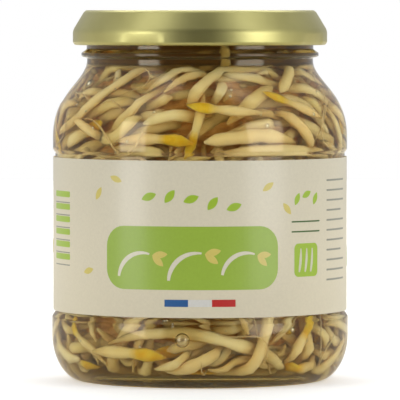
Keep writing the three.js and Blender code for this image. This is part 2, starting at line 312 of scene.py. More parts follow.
def makeJar():
    outline = jarOutline()
    points, faces, faceRows = turnRound(outline, jar["facets"])
    radius = np.hypot(points[:, 0], points[:, 1])
    angle = np.degrees(np.arctan2(points[:, 1], points[:, 0]))
    height = points[:, 2]
    reach = np.zeros(len(points))
    onFinish = radius > jar["finishRadius"] - 0.05
    onFinish &= (height > jar["finishBottom"] + 0.1) & (height < jar["rimTop"] - 1)
    for i in range(jar["threads"]):
        along = (angle - jar["threadStart"] - i * 360 / jar["threads"]) % 360 / jar["threadSpan"]
        middle = jar["threadLowest"] + along * jar["threadRise"]
        ends = np.clip(np.minimum(along, 1 - along) * 8, 0, 1)
        bump = np.clip(1 - ((height - middle) / jar["threadHalf"]) ** 2, 0, 1) ** 0.7
        reach = np.maximum(reach, np.where(along < 1, bump * ends * jar["threadReach"], 0))
    reach[~onFinish] = 0
    turn = np.radians(angle)
    wave = (
        np.sin(3 * turn + height * 0.11) + np.sin(5 * turn - height * 0.17 + 1.3)
        + 0.7 * np.sin(9 * turn + height * 0.23 + 0.4) + 0.7 * np.sin(height * 0.31 + 2 * turn)
    )
    inside = radius < jar["innerRadius"] + 0.1
    inside &= (height > jar["wavyFrom"]) & (height < jar["wavyTo"])
    reach += np.where(inside, jar["waviness"] * wave, 0)
    scale = np.where(radius > 1, (radius + reach) / np.maximum(radius, 1), 1)
    points[:, 0] *= scale
    points[:, 1] *= scale
    # the glass below the brine's level on the inside is wet, and the foot is stippled and painted amber
    # for the brine and sprouts mirrored in it (painted reflection)
    wetFrom = next(i for i, (r, z) in enumerate(outline)
                   if r <= jar["boreRadius"] + 0.01 and jar["neckBottom"] < z < brine["level"])
    footTo = next(i for i, (r, z) in enumerate(outline) if z > 0.25 and r > jar["footOuter"])
    pick = np.where(faceRows >= wetFrom, 1, np.where(faceRows < footTo, 2, 0))
    tints = jar["tint"], jar["lampTint"], jar["mirrorPaintedAmber"]
    footPaintedTints = jar["footPaintedAmber"], jar["footLampPaintedAmber"], jar["footMirrorPaintedAmber"]
    piece = addPiece(
        "glassJar", points, faces,
        [
            glassMaterial("jarGlass", jar["ior"], *tints),
            glassMaterial("jarGlassAgainstBrine", jar["iorInBrine"], *tints),
            glassMaterial("jarFootGlass", jar["ior"], *footPaintedTints, jar["footRoughness"]),
        ],
        "jar", pick,
    )
    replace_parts(piece, "glass_jar")


makeJar()
print("glass jar made")


def brineMaterial():
    material, tree, shader = startMaterial("amberBrine")
    setSockets(shader, {
        "Base Color": (1, 1, 1, 1), "Roughness": 0.0, "IOR": 1.0, "Transmission Weight": 1.0,
    })
    passLampLight(tree, shader, (1, 1, 1))
    depth = addNode(
        tree, "ShaderNodeVolumeAbsorption", Color=(*brine["depthColour"], 1), Density=brine["density"]
    )
    cloud = addNode(
        tree, "ShaderNodeVolumeScatter",
        Color=(*brine["cloudColour"], 1), Density=brine["cloud"], Anisotropy=brine["cloudForward"],
    )
    both = addNode(tree, "ShaderNodeAddShader")
    tree.links.new(depth.outputs["Volume"], both.inputs[0])
    tree.links.new(cloud.outputs["Volume"], both.inputs[1])
    tree.links.new(both.outputs["Shader"], tree.nodes["Material Output"].inputs["Volume"])
    return material


def makeBrine():
    gap = brine["gap"] + 2.6 * jar["waviness"] + 0.06  # clear of the wavy glass
    edge, level = jar["boreRadius"] - gap, brine["level"]
    side = innerOutline(gap, *jar["liningSteps"])
    top = [(edge, level - 0.3), (edge - 0.3, level - 0.35), (0, level - 0.35)]
    points, faces, _ = turnRound([*side, *top], jar["facets"])
    piece = addPiece("brine", points, faces, [brineMaterial()], "jar")
    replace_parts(piece, "brine")


makeBrine()


# Air bubbles, flattened against the glass. Each is (x, height, size, flatness).
bubbles = {
    "places": [
        (-28.4, 80.2, 1.45, 1.0), (-4.6, 13.2, 1.95, 0.7), (17.5, 70.5, 0.6, 0.8),
        (-19.0, 66.5, 0.5, 0.8), (24.0, 15.5, 0.7, 0.7), (8.0, 78.0, 0.45, 0.9),
        (-12.0, 74.0, 0.4, 0.9), (29.5, 73.0, 0.55, 0.8),
    ],
    # how much the first bubble, the second and the rest mirror
    "kinds": [("paleBubble", 0.75), ("clearBubble", 0.15), ("smallBubble", 0.5)],
    "seed": 9, "scattered": 26, "smallest": 0.2, "largest": 0.45, "heights": ((9, 18), (63, 84)),
}


def bubbleMaterial(name, gloss):
    material, tree, shader = startMaterial(name)
    glass = addNode(tree, "ShaderNodeBsdfGlass", Color=(1, 1, 1, 1), Roughness=0.0, IOR=0.752)
    mirror = addNode(tree, "ShaderNodeBsdfGlossy", Color=(1, 1, 1, 1), Roughness=0.25)
    both = addNode(tree, "ShaderNodeMixShader", Fac=gloss)
    tree.links.new(glass.outputs["BSDF"], both.inputs[1])
    tree.links.new(mirror.outputs["BSDF"], both.inputs[2])
    clear = addNode(tree, "ShaderNodeBsdfTransparent", Color=(0.9, 0.9, 0.9, 1))
    path = addNode(tree, "ShaderNodeLightPath")
    mix = addNode(tree, "ShaderNodeMixShader")
    tree.nodes.remove(shader)
    tree.links.new(path.outputs["Is Shadow Ray"], mix.inputs["Fac"])
    tree.links.new(both.outputs["Shader"], mix.inputs[1])
    tree.links.new(clear.outputs["BSDF"], mix.inputs[2])
    tree.links.new(mix.outputs["Shader"], tree.nodes["Material Output"].inputs["Surface"])
    return material


def innerRadiusAt(height):
    wall = np.array(innerOutline(0.3 + 2.6 * jar["waviness"], *jar["liningSteps"]))
    return float(np.interp(height, wall[2:, 1], wall[2:, 0]))


# Where each bubble is, its size and its flatness.
def bubblePlaces():
    random = np.random.default_rng(bubbles["seed"])
    places = [(x, z, size, flat, -1) for x, z, size, flat in bubbles["places"]]
    for _ in range(bubbles["scattered"]):
        z = random.choice([random.uniform(low, high) for low, high in bubbles["heights"]])
        size = random.uniform(bubbles["smallest"], bubbles["largest"])
        turn = random.uniform(0, 2 * math.pi)
        places.append((0.9 * innerRadiusAt(z) * math.cos(turn), z, size, 0.85, math.sin(turn)))
    found = []
    for x, z, size, flat, side in places:
        reach = innerRadiusAt(z) - size * flat - 0.05
        x = max(-0.97 * reach, min(0.97 * reach, x))
        found.append((np.array([x, math.copysign(math.sqrt(reach**2 - x**2), side), z]), size, flat))
    return found


def makeBubbles():
    points, faces, pick, start = [], [], [], 0
    arc = np.linspace(0, math.pi, 13)
    ballPoints, ballFaces, _ = turnRound(
        [(math.sin(t), -math.cos(t)) if 0 < t < math.pi else (0, -math.cos(t)) for t in arc], 20
    )
    for order, (place, size, flat) in enumerate(bubblePlaces()):
        outward = np.array([place[0], place[1], 0]) / math.hypot(place[0], place[1])
        sideways = np.array([-outward[1], outward[0], 0])
        ball = (ballPoints[:, :1] * size * sideways + ballPoints[:, 1:2] * size * flat * outward
                + ballPoints[:, 2:] * size * np.array([0, 0, 1]))
        points.append(ball + place)
        faces.extend(tuple(v + start for v in reversed(face)) for face in ballFaces)
        pick.extend([min(order, 2)] * len(ballFaces))
        start += len(ball)
    materials = [bubbleMaterial(*kind) for kind in bubbles["kinds"]]
    addPiece("airBubbles", np.vstack(points), faces, materials, "jar", pick)


makeBubbles()
print("brine poured")


# The bean sprouts. These values lay the outermost ones just where the CAD bunch has them.
sprout = {
    "seed": 20, "count": 60, "tries": 80, "enoughRoom": 14, "stations": 7,
    "shortest": 40, "longest": 58, "thinnest": 1.9, "thickest": 2.3,
    "deepest": 0.5, "sharpestBend": 0.034, "wander": 0.0, "massTop": 89,
    "clearance": 0.3, "film": 0.7, "slim": 0.68, "dive": 3.0,
    "upright": 3, "uprightRadius": 22.5, "uprightTip": 94.8,
}
# These values pack smaller ones in front of, between and behind them, where glass shows them.
# Most are combed one way, so that they lie close.
filler = {
    "seed": 77, "inFront": 40, "count": 1060, "tries": 11, "stations": 13,
    "shortest": 12, "longest": 34, "thinnest": 1.05, "thickest": 1.65,
    "deepest": 0.0, "sharpestBend": 0.025, "wander": 0.05, "hooked": 0.16, "hookBend": 0.24,
    "deepestMean": 7.0, "dive": 6.0, "whereSeen": True, "combed": 0.75, "stray": 0.9,
}
# Loose root tails, fine and long.
rootlet = {
    "seed": 31, "count": 75, "tries": 2, "stations": 15,
    "shortest": 12, "longest": 30, "thinnest": 0.16, "thickest": 0.3,
    "deepest": 0.0, "sharpestBend": 0.05, "wander": 0.16, "hooked": 0.4, "hookBend": 0.25,
    "deepestMean": 4.5, "dive": 3.0, "whereSeen": True, "combed": 0.0, "stray": 0.0,
}
# Yellow seed leaves in plain sight.
# Each is (degrees from the front, height, heading in degrees, length, thickness).
seedLeaves = {
    "places": [(-36, 66.5, -8, 21, 1.4), (27, 74.0, 184, 20, 1.25), (2, 79.0, 100, 18, 1.2),
               (-50, 9.5, -3, 22, 1.5), (40, 5.5, -62, 16, 1.4), (61, 72.0, 200, 20, 1.2),
               (150, 70.0, 15, 20, 1.3), (205, 14.0, -20, 20, 1.3), (-100, 76.0, 30, 20, 1.2)],
    "bend": 0.012, "stations": 9, "dive": 1.5,
}
# How they are packed, and what share of them is laid where little of them would show.
packing = {
    "wallGap": 0.5, "top": 86.3, "cell": 0.6, "turnCells": 400, "fineStep": 0.9, "stiffness": 2,
    "sides": 8, "meshStep": 1.9, "withSeedLeaves": 0.13, "leafLength": 9.0,
    "coreDepth": 6.0, "coreTopDepth": 3.0, "coreFacets": 64,
    "labelFrom": 23, "labelTo": 58, "behindLabel": 0.1,
    "floorTop": 8, "floorRadius": 28, "onFloor": 0.35, "topFrom": 80, "onTop": 0.25,
    "lookSeed": 5,
}
# Colours of the sprouts: stems and root tails from the glass inwards, the deeper ones painted lighter as
# painted light against the shade among them, their hues, leaves, and heart.
sproutColours = {
    "stems": [(0.0, (0.88, 0.66, 0.38)), (0.3, (0.93, 0.73, 0.43)),
              (0.62, (0.97, 0.80, 0.49)), (1.0, (0.99, 0.87, 0.59))],
    "streak": (0.84, 0.59, 0.32), "streaked": 0.35, "rootEnd": (0.60, 0.42, 0.18),
    "hues": [(0.0, (1.0, 0.92, 0.84)), (0.3, (1, 1, 1)), (0.7, (1, 1, 1)), (1.0, (0.93, 0.97, 0.86))],
    "leaves": [(0.3, (0.92, 0.45, 0.02)), (0.7, (0.96, 0.60, 0.07))],
    "tails": [(0.0, (0.58, 0.40, 0.16)), (1.0, (0.80, 0.64, 0.36))],
    # the heart's darker amber is painted shade, for the sprouts packed deep in the jar
    "heart": [(0.38, (0.55, 0.28, 0.08)), (0.5, (0.76, 0.46, 0.19)), (0.62, (0.90, 0.66, 0.36))],
}


def seededRandom(seed):
    state = seed
    while True:
        state = (state * 1664525 + 1013904223) & 0xFFFFFFFF
        yield state / 4294967296


def massOutline(gap, cornerSteps, shoulderSteps, top):
    outline = innerOutline(gap, cornerSteps, shoulderSteps)
    kept = [p for p in outline if p[1] < top]
    return np.array([*kept, (kept[-1][0] - 1, top), (0, top)], float)


class Envelope:
    def __init__(self, outline):
        self.outline = outline
        self.start, self.run = outline[:-1], outline[1:] - outline[:-1]
        self.size = np.linalg.norm(self.run, axis=1)
        self.along = np.concatenate([[0], np.cumsum(self.size)])
        self.area = self.size * (outline[:-1, 0] + outline[1:, 0])

    # The nearest places to points given by radius and height, with the inward direction there.
    def nearest(self, radius, height):
        radius, height = np.atleast_1d(radius), np.atleast_1d(height)
        offset = np.stack([radius, height], 1)[:, None] - self.start[None]
        share = np.clip((offset * self.run).sum(2) / self.size**2, 0, 1)
        place = self.start + share[..., None] * self.run
        gap = np.linalg.norm(np.stack([radius, height], 1)[:, None] - place, axis=2)
        pick = gap.argmin(1)
        rows = np.arange(len(pick))
        direction = self.run[pick] / self.size[pick][:, None]
        inward = np.stack([-direction[:, 1], direction[:, 0]], 1)
        return place[rows, pick], inward, self.along[pick] + share[rows, pick] * self.size[pick]

    def atArea(self, share):
        left = share * self.area.sum()
        i = 0
        while i < len(self.area) - 1 and left > self.area[i]:
            left -= self.area[i]
            i += 1
        return self.outline[i] + left / self.area[i] * self.run[i]

    # Moves a point to a depth under the envelope.
    def settle(self, point, depth):
        radius = math.hypot(point[0], point[1])
        place, inward, _ = self.nearest(radius, point[2])
        (r, z), (inR, inZ) = place[0], inward[0]
        cos, sin = point[0] / radius, point[1] / radius
        settled = r + inR * depth
        return (
            np.array([settled * cos, settled * sin, z + inZ * depth]),
            np.array([inR * cos, inR * sin, inZ]),
        )


def chanceSeen(radius, height):
    if packing["labelFrom"] < height < packing["labelTo"]:
        return packing["behindLabel"]
    if height < packing["floorTop"] and radius < packing["floorRadius"]:
        return packing["onFloor"]
    if height > packing["topFrom"]:
        return packing["onTop"]
    return 1


# Walks along under the envelope from a start given by radius, angle and height.
def walkAlong(envelope, start, heading, length, depth, bend, wander):
    radius, angle, height = start
    place = np.array([radius * math.cos(angle), radius * math.sin(angle), height])
    point, inward = envelope.settle(place, depth)
    sideways = np.array([-math.sin(angle), math.cos(angle), 0.0])
    ahead = sideways * math.cos(heading) + np.cross(inward, sideways) * math.sin(heading)
    step = length / (len(wander) - 1)
    way = []
    for k, swerve in enumerate(wander):
        way.append(point)
        hook = 2.5 if k / (len(wander) - 1) > 0.7 else 1
        turn = (bend * hook + swerve) * step
        turned = ahead * math.cos(turn) + np.cross(inward, ahead) * math.sin(turn)
        nextPoint, inward = envelope.settle(point + turned * step, depth)
        ahead = nextPoint - point
        ahead = ahead - inward * (ahead @ inward)
        ahead = ahead / np.linalg.norm(ahead)
        point = nextPoint
    return np.array(way)


def drawWay(envelope, random, form):
    startRadius, startHeight = envelope.atArea(next(random))
    while form.get("whereSeen") and next(random) > chanceSeen(startRadius, startHeight):
        startRadius, startHeight = envelope.atArea(next(random))
    angle = 2 * math.pi * next(random)
    heading = 2 * math.pi * next(random)
    if form.get("combed") and next(random) < form["combed"]:
        lie = 0.45 * math.sin(3 * angle + 0.12 * startHeight)
        lie += 0.5 * math.sin(2 * angle - 0.07 * startHeight + 1)
        heading = lie + form["stray"] * (next(random) - 0.5) + (math.pi if heading > math.pi else 0)
    length = form["shortest"] + (form["longest"] - form["shortest"]) * next(random)
    thick = form["thinnest"] + (form["thickest"] - form["thinnest"]) * next(random)
    depth = 1.12 * thick + form["deepest"] * next(random)
    bend = form["sharpestBend"] * (2 * next(random) - 1)
    wander = [0.0] * form["stations"]
    if form["wander"]:
        phase, waves = 2 * math.pi * next(random), 0.6 + 1.3 * next(random)
        size = form["wander"] * next(random)
        hookAt = 0.25 + 0.6 * next(random)
        hookSide = 1 if next(random) < 0.5 else -1
        hooked = next(random) < form["hooked"]
        for k in range(form["stations"]):
            share = k / (form["stations"] - 1)
            wander[k] = size * math.sin(phase + 2 * math.pi * waves * share)
            if hooked:
                wander[k] += hookSide * form["hookBend"] * math.exp(-(((share - hookAt) / 0.12) ** 2))
    start = (max(startRadius, 4), angle, startHeight)
    way = walkAlong(envelope, start, heading, length, depth, bend, wander)
    return {"way": way, "thick": thick, "length": length}


# Lays the outermost sprouts one by one, each time along the emptiest of a few ways.
def layOutermost():
    coarse = Envelope(massOutline(2 * sprout["clearance"] + sprout["film"], 4, 4, sprout["massTop"]))
    random = seededRandom(sprout["seed"])
    laid, points = [], np.empty((0, 3))
    for _ in range(sprout["count"]):
        best, bestRoom = None, -1
        for _ in range(sprout["tries"]):
            candidate = drawWay(coarse, random, sprout)
            room = sprout["enoughRoom"]
            if len(points):
                gaps = np.linalg.norm(candidate["way"][:, None] - points[None], axis=2).min(1)
                room = np.minimum(gaps, sprout["enoughRoom"]).mean()
            if room > bestRoom:
                best, bestRoom = candidate, room
        laid.append(best)
        points = np.vstack([points, best["way"]])
    return laid


def smoothThrough(points, count):
    padded = np.vstack([2 * points[0] - points[1], points, 2 * points[-1] - points[-2]])
    t = np.linspace(0, len(points) - 1, count)
    i = np.minimum(t.astype(int), len(points) - 2)
    u = (t - i)[:, None]
    a, b, c, d = (padded[i + k] for k in range(4))
    return 0.5 * (
        2 * b + (c - a) * u + (2 * a - 5 * b + 4 * c - d) * u**2 + (3 * b - a - 3 * c + d) * u**3
    )


# How thick a sprout is along its way: a fine root, a plump stem, a slim neck, the seed leaves.
def thicknessAt(share, length, leafy):
    root = 0.2 + 0.8 * np.clip(share / 0.3, 0, 1) ** 0.8
    if not leafy:
        slim = 1 - 0.5 * np.clip((share - 0.84) / 0.14, 0, 1)
        tip = np.sqrt(np.clip(1 - ((share - 0.98) / 0.021) ** 2, 0.02, 1))
        return root * slim * np.where(share > 0.98, tip, 1)
    leafFrom = leafStart(length)
    neck = 1 - 0.45 * np.clip((share - leafFrom + 0.12) / 0.12, 0, 1)
    along = np.clip((share - leafFrom) / (1 - leafFrom), 0, 1)
    blade = 0.5 + 0.35 * np.sin(math.pi * along**0.7)
    tip = np.sqrt(np.clip(1 - ((along - 0.45) / 0.56) ** 2, 0.01, 1))
    return np.where(along > 0, blade * np.where(along > 0.45, tip, 1), root * neck)


def leafStart(length):
    return 1 - min(0.4, packing["leafLength"] / length)


discRows, discColumns = [], []
for ring in range(4):
    for k in range(1 if ring == 0 else 6 * ring):
        turn = 2 * math.pi * k / max(1, 6 * ring)
        discRows.append(ring / 3.2 * math.cos(turn))
        discColumns.append(ring / 3.2 * math.sin(turn))
discRows, discColumns = np.array(discRows), np.array(discColumns)
discHeights = np.sqrt(np.clip(1 - discRows**2 - discColumns**2, 0, 1))


# Tucks a sprout behind the ones in front of it, and bends it no more sharply than it would.
def tuckBehind(fine, depths, candidate, leafy, dives):
    count = max(8, int(candidate["length"] / packing["fineStep"]))
    points = smoothThrough(candidate["way"], count)
    share = np.linspace(0, 1, count)
    thick = candidate["thick"] * np.maximum(thicknessAt(share, candidate["length"], leafy), 0.25)
    place, inward, along = fine.nearest(np.hypot(points[:, 0], points[:, 1]), points[:, 2])
    angle = np.arctan2(points[:, 1], points[:, 0])
    around = np.maximum(place[:, 0], 3)
    rows = ((along[:, None] + discRows * thick[:, None]) / packing["cell"]).astype(int)
    rows = np.clip(rows, 0, depths.shape[0] - 1)
    turn = angle[:, None] + discColumns * thick[:, None] / around[:, None]
    columns = (turn / (2 * math.pi) * packing["turnCells"]).astype(int) % packing["turnCells"]
    there = depths[rows, columns]
    standing = discHeights * thick[:, None]
    need = np.where(there > 0, there + standing + 0.05, thick[:, None]).max(1)
    reach = packing["stiffness"]
    padded = np.pad(need, reach, mode="edge")
    widened = np.array([padded[i:i + 2 * reach + 1].max() for i in range(count)])
    kernel = np.hanning(2 * reach + 3)[1:-1]
    padded = np.pad(widened, reach, mode="edge")
    depth = np.convolve(padded, kernel / kernel.sum(), mode="valid")
    dive = dives[0] * np.clip(1 - share / 0.3, 0, 1) ** 2
    dive += dives[1] * np.clip(share / 0.3 - 7 / 3, 0, 1) ** 2
    radius = place[:, 0] + inward[:, 0] * (depth + dive)
    centre = np.stack(
        [radius * np.cos(angle), radius * np.sin(angle), place[:, 1] + inward[:, 1] * (depth + dive)], 1)
    into = np.stack([inward[:, 0] * np.cos(angle), inward[:, 0] * np.sin(angle), inward[:, 1]], 1)
    near = dive < 1.2
    return {
        "centre": centre, "into": into, "thick": candidate["thick"], "length": candidate["length"],
        "meanDepth": depth.mean(), "rows": rows[near], "columns": columns[near],
        "behind": (depth[:, None] + standing)[near],
    }


def makeSprout(laid, mark, leafy, toneAndDepthLight):
    centre, into, length = laid["centre"], laid["into"], laid["length"]
    count = max(6, int(length / packing["meshStep"]))
    head = 1 - (1 - np.linspace(0, 1, count)) ** 1.15
    pick = head * (len(centre) - 1)
    whole = np.minimum(pick.astype(int), len(centre) - 2)
    part = (pick - whole)[:, None]
    centre = centre[whole] * (1 - part) + centre[whole + 1] * part
    into = into[whole] * (1 - part) + into[whole + 1] * part
    share = pick / (len(laid["centre"]) - 1)
    uneven = 0.07 * np.sin(mark * 9 + share * 23) + 0.05 * np.sin(mark * 31 + share * 47)
    thick = laid["thick"] * thicknessAt(share, length, leafy) * (1 + uneven)
    ahead = np.gradient(centre, axis=0)
    ahead /= np.linalg.norm(ahead, axis=1)[:, None]
    side = np.cross(into, ahead)
    side /= np.linalg.norm(side, axis=1)[:, None]
    up = np.cross(ahead, side)
    turn = np.arange(packing["sides"]) * 2 * math.pi / packing["sides"]
    leaf = np.clip((share - leafStart(length)) / 0.02, 0, 1) * (1 if leafy else 0)
    wide, tall = 1.12 + 0.25 * leaf[:, None], 0.88 - 0.35 * leaf[:, None]  # a seed leaf is flatter
    ring = (
        centre[:, None]
        + side[:, None] * (thick[:, None] * wide * np.cos(turn))[..., None]
        + up[:, None] * (thick[:, None] * tall * np.sin(turn))[..., None]
    )
    sides = packing["sides"]
    vertices = np.vstack([ring.reshape(-1, 3), centre[:1], centre[-1:]])
    faces = []
    for i in range(count - 1):
        for j in range(sides):
            k = (j + 1) % sides
            faces.append((i * sides + j, i * sides + k, (i + 1) * sides + k, (i + 1) * sides + j))
    last, tail, tip = (count - 1) * sides, count * sides, count * sides + 1
    for j in range(sides):
        k = (j + 1) % sides
        faces.append((tail, k, j))
        faces.append((tip, last + j, last + k))
    tone = np.zeros((len(vertices), 5))
    tone[:-2, 0] = np.repeat(share, sides)
    tone[-1, 0] = 1
    tone[:, 1] = toneAndDepthLight
    tone[:-2, 2] = np.repeat(leaf, sides)
    tone[-1, 2] = 1 if leafy else 0
    tone[:, 3] = 1
    tone[:, 4] = mark
    return vertices, faces, tone


# A few stand up in the middle and just break the surface, as in the CAD bunch.
def standSprout(i):
    turn = math.radians(120 * i + 40)
    share = np.linspace(0, 1, 20)
    radius = sprout["uprightRadius"] - 3.5 * (1 - share) ** 2
    angle = turn + 0.12 * np.sin(2.4 * share)
    tip = sprout["uprightTip"] - 0.35
    centre = np.stack([radius * np.cos(angle), radius * np.sin(angle), tip - 26 + 26 * share], 1)
    into = np.stack([-np.cos(angle), -np.sin(angle), np.zeros(20)], 1)
    return {"centre": centre, "into": into, "thick": 1.15, "length": 26.5}


def sproutMaterial(name, rooty=False):
    material, tree, shader = startMaterial(name)
    tone = addNode(tree, "ShaderNodeAttribute", attribute_name="sproutTone")
    split = addNode(tree, "ShaderNodeSeparateColor")
    tree.links.new(tone.outputs["Color"], split.inputs["Color"])
    share, toneAndDepthLight, leaf = (split.outputs[k] for k in ("Red", "Green", "Blue"))
    colours = sproutColours
    # the stem and tail colour runs lighter the deeper a sprout lies: painted light against the shade
    # among them
    stem = addRamp(tree, toneAndDepthLight, colours["tails" if rooty else "stems"])
    streaks = addNoise(tree, 420, 3.0, 0.6)
    stem = mixColours(tree, addRange(tree, streaks, 0.0, colours["streaked"]), stem, colours["streak"])
    hue = addNode(tree, "ShaderNodeAttribute", attribute_name="sproutHue").outputs["Fac"]
    stem = mixColours(tree, 1.0, stem, addRamp(tree, hue, colours["hues"]), "MULTIPLY")
    root = addRamp(tree, share, [(0.0, (1, 1, 1)), (0.12, (0.5, 0.5, 0.5)), (0.3, (0, 0, 0))])
    withRoot = mixColours(tree, root, stem, colours["rootEnd"])
    yellow = addRamp(tree, streaks, colours["leaves"])
    tree.links.new(mixColours(tree, leaf, withRoot, yellow), shader.inputs["Base Color"])
    setSockets(shader, {
        "Roughness": 0.45, "IOR": 1.06, "Specular IOR Level": 0.5,
        "Subsurface Weight": 1.0, "Subsurface Radius": (1.0, 1.0, 0.9), "Subsurface Scale": 0.004,
    })
    addBump(tree, addNoise(tree, 480, 3.0, 0.6), 0.0004, 0.5, shader)
    return material


# The heart's dark amber colour is painted shade: it stands for the sprouts packed deep in the jar, where
# little light reaches.
def coreMaterial():
    material, tree, shader = startMaterial("deepInTheJar")
    blotch = addNoise(tree, 260, 4.0, 0.65, (1, 1, 3))
    tree.links.new(addRamp(tree, blotch, sproutColours["heart"]), shader.inputs["Base Color"])
    setSockets(shader, {"Roughness": 0.6})
    addBump(tree, blotch, 0.002, 0.6, shader)
    return material


def joinSprouts(name, made, material=None):
    points, faces, tones, start = [], [], [], 0
    for vertices, own, tone in made:
        points.append(vertices)
        faces.extend(tuple(v + start for v in face) for face in own)
        tones.append(tone)
        start += len(vertices)
    material = material or sproutMaterial("wetSprout")
    piece = addPiece(name, np.vstack(points), faces, [material], "jar")
    layer = piece.data.attributes.new("sproutTone", "FLOAT_COLOR", "POINT")
    tones = np.vstack(tones).astype(np.float32)
    layer.data.foreach_set("color", tones[:, :4].ravel())
    layer = piece.data.attributes.new("sproutHue", "FLOAT", "POINT")
    layer.data.foreach_set("value", tones[:, 4].copy())
    return piece


def makeSprouts():
    fine = Envelope(massOutline(packing["wallGap"], 10, 18, packing["top"]))
    depths = np.zeros((int(fine.along[-1] / packing["cell"]) + 2, packing["turnCells"]))
    for point, size, flat in bubblePlaces():
        if size > 1:
            place, _, along = fine.nearest(math.hypot(point[0], point[1]), point[2])
            rows = along[0] / packing["cell"] + np.arange(-6, 7)
            turn = math.atan2(point[1], point[0]) / (2 * math.pi) * packing["turnCells"]
            reach = size * packing["turnCells"] / (2 * math.pi * place[0, 0])
            columns = np.arange(int(turn - reach), int(turn + reach) + 2) % packing["turnCells"]
            near = rows[abs(rows * packing["cell"] - along[0]) < size].astype(int)
            depths[np.ix_(near, columns)] = 2 * size * flat
    look = seededRandom(packing["lookSeed"])
    outermost, packed, loose = [], [], []

    # Of a few ways, the one that stays nearest to the glass is taken. Some ends dive inwards.
    def lay(candidates, kept, form, leafShare=packing["withSeedLeaves"]):
        leafy = next(look) < leafShare
        toneAndDepthLight, mark = next(look), next(look)
        dives = [form["dive"] * max(0, 1.35 * next(look) - 0.35) for _ in range(2)]
        tries = [tuckBehind(fine, depths, candidate, leafy, dives) for candidate in candidates]
        laid = min(tries, key=lambda t: t["meanDepth"])
        if laid["meanDepth"] < form.get("deepestMean", 99):
            np.maximum.at(depths, (laid["rows"], laid["columns"]), laid["behind"])
            # deeper sprouts get a lighter colour, as painted light against the shade among them; the
            # rest of their tone differs at random
            toneAndDepthLight = 0.35 * toneAndDepthLight + 0.65 * min(1, laid["meanDepth"] / 5)
            kept.append(makeSprout(laid, mark, leafy, toneAndDepthLight))

    random, rootRandom = seededRandom(filler["seed"]), seededRandom(rootlet["seed"])

    def layMany(count, draw, kept, form, leafShare):
        for _ in range(count):
            lay([drawWay(fine, draw, form) for _ in range(form["tries"])], kept, form, leafShare)

    layMany(rootlet["count"] // 3, rootRandom, loose, rootlet, 0)
    for turn, height, heading, length, thick in seedLeaves["places"]:
        start = (innerRadiusAt(height), math.radians(turn - 90), height)
        way = walkAlong(fine, start, math.radians(heading), length, 1.12 * thick, seedLeaves["bend"],
                        [0.0] * seedLeaves["stations"])
        lay([{"way": way, "thick": thick, "length": length}], packed, seedLeaves, 1)
    layMany(filler["inFront"], random, packed, dict(filler, longest=24, tries=1), 0.1)
    for candidate in layOutermost():
        candidate["thick"] *= sprout["slim"]
        lay([candidate], outermost, sprout, 0.2)
    layMany(rootlet["count"] // 3, rootRandom, loose, rootlet, 0)
    layMany(filler["count"] // 2, random, packed, filler, packing["withSeedLeaves"])
    layMany(rootlet["count"] // 3, rootRandom, loose, rootlet, 0)
    layMany(filler["count"] // 2, random, packed, dict(filler, longest=25), packing["withSeedLeaves"])
    for i in range(sprout["upright"]):
        outermost.append(makeSprout(standSprout(i), i, False, 0.6))
    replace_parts(joinSprouts("sprouts", outermost), "sprouts")
    half = len(packed) // 2
    joinSprouts("packedSprouts", packed[:half])
    joinSprouts("deeperSprouts", packed[half:])
    joinSprouts("looseRoots", loose, sproutMaterial("wetRoot", rooty=True))
    print("sprouts laid:", len(outermost), "outermost,", len(packed), "packed,", len(loose), "tails")

    core = massOutline(packing["wallGap"] + packing["coreDepth"], 6, 10, packing["top"])
    core[-2:, 1] -= packing["coreTopDepth"]
    points, faces, _ = turnRound([tuple(p) for p in core if p[1] <= core[-1, 1]], packing["coreFacets"])
    addPiece("sproutHeart", points, faces, [coreMaterial()], "jar")


makeSprouts()


lid = {
    "facets": 256, "plate": 0.45, "radius": 35, "bottom": 92.1,
    "slopeBottom": 96.15, "shoulderRadius": 32, "shoulderTop": 101.15,
    "rimOuter": 31.3, "rimInner": 26.4, "top": 101.7, "panelTop": 101.05,
    "buttonRadius": 8.5, "buttonDip": 0.5, "curlInner": 33.45,
    "lugs": 4, "firstLug": 63, "lugDegrees": 12, "lugInner": 31.65, "lugBottom": 92.5, "lugTop": 93.2,
    "dent": 0.45, "dentWidth": 6.0, "dentTop": 94.6, "lugOuter": 33.9,
    "gold": (0.53, 0.495, 0.19), "goldLow": (0.455, 0.42, 0.15),
}


def lidOutline():
    inside = lid["radius"] - lid["plate"]
    under = lid["panelTop"] - lid["plate"]
    plate, dip = lid["plate"], lid["buttonDip"]
    button = lid["buttonRadius"]
    return softOutline([
        (0, under - dip), (button - 2, under - dip, 3), (button + 1.5, under, 3),
        (lid["rimInner"] - 0.5, under, 0.6), (lid["rimInner"] + 0.6, lid["top"] - plate, 0.6),
        (lid["rimOuter"] - 0.3, lid["top"] - plate, 0.6),
        (lid["shoulderRadius"] - 0.5, lid["shoulderTop"] - 0.4, 0.8),
        (inside, lid["slopeBottom"] - 0.2, 3), (inside, lid["bottom"] + 1.7, 0.4),
        (lid["curlInner"], lid["bottom"] + 1.25, 0.5), (lid["curlInner"], lid["bottom"] + 0.1, 0.5),
        (lid["radius"] - 0.5, lid["bottom"], 0.7), (lid["radius"], lid["bottom"] + 0.9, 0.7),
        (lid["radius"], lid["slopeBottom"], 3.2), (lid["shoulderRadius"], lid["shoulderTop"], 0.8),
        (lid["rimOuter"], lid["top"], 0.6), (lid["rimInner"], lid["top"], 0.5),
        (lid["rimInner"] - 1.2, lid["panelTop"], 0.6), (button + 1.5, lid["panelTop"], 3),
        (button - 2, lid["panelTop"] - dip, 3), (0, lid["panelTop"] - dip),
    ], 6)


